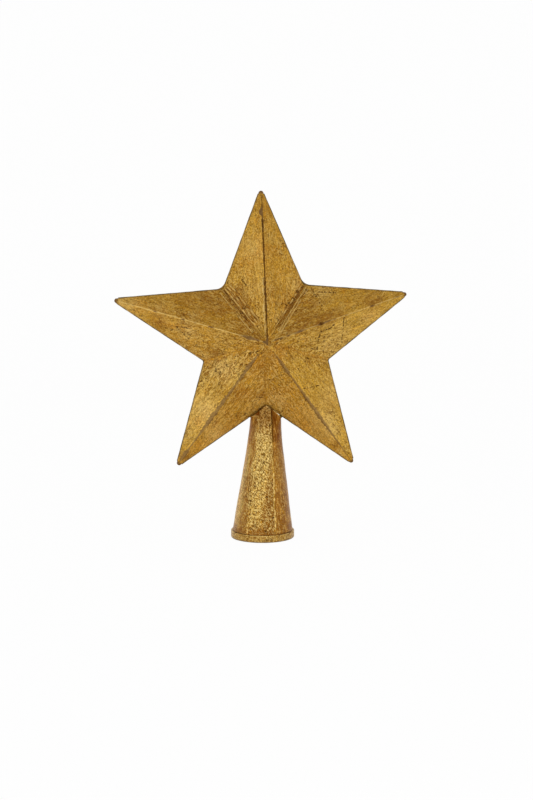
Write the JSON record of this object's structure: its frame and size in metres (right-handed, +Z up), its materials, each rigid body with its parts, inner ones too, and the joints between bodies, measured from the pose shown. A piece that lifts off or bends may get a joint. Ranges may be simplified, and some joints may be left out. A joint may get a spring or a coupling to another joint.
{
  "type": "christmas tree topper star",
  "caption": "Double-sided folded sheet-metal star with a gilded finish, soldered onto a tapered open socket that slips over the top shoot of a christmas tree.",
  "frame": {"origin": "centre of the socket's mouth, in the plane it stands on", "axes": "+Z up along the socket to the star, the front of the star faces -Y, +X to its right as seen from the front"},
  "size_m": [0.2122, 0.0524, 0.252],
  "materials": {
    "gilded_sheet": "antique gold leaf over brown bole on tinplate, worn at ridges and edges",
    "solder": "gilded soft solder, rubbed grey-brown"
  },
  "bodies": {
    "root": {"front_top_point": "gilded_sheet", "front_left_point": "gilded_sheet", "front_lower_left_point": "gilded_sheet", "front_lower_right_point": "gilded_sheet", "front_right_point": "gilded_sheet", "back_top_point": "gilded_sheet", "back_left_point": "gilded_sheet", "back_lower_left_point": "gilded_sheet", "back_lower_right_point": "gilded_sheet", "back_right_point": "gilded_sheet", "socket_cone": "gilded_sheet", "mouth_band": "gilded_sheet", "front_valley_solder": "solder", "back_valley_solder": "solder", "front_centre_solder": "solder", "back_centre_solder": "solder", "rim_solder": "solder", "tip_solder": "solder", "socket_seam_solder": "solder", "band_joint_solder": "solder", "socket_joint_solder": "solder"}
  },
  "joints": []
}
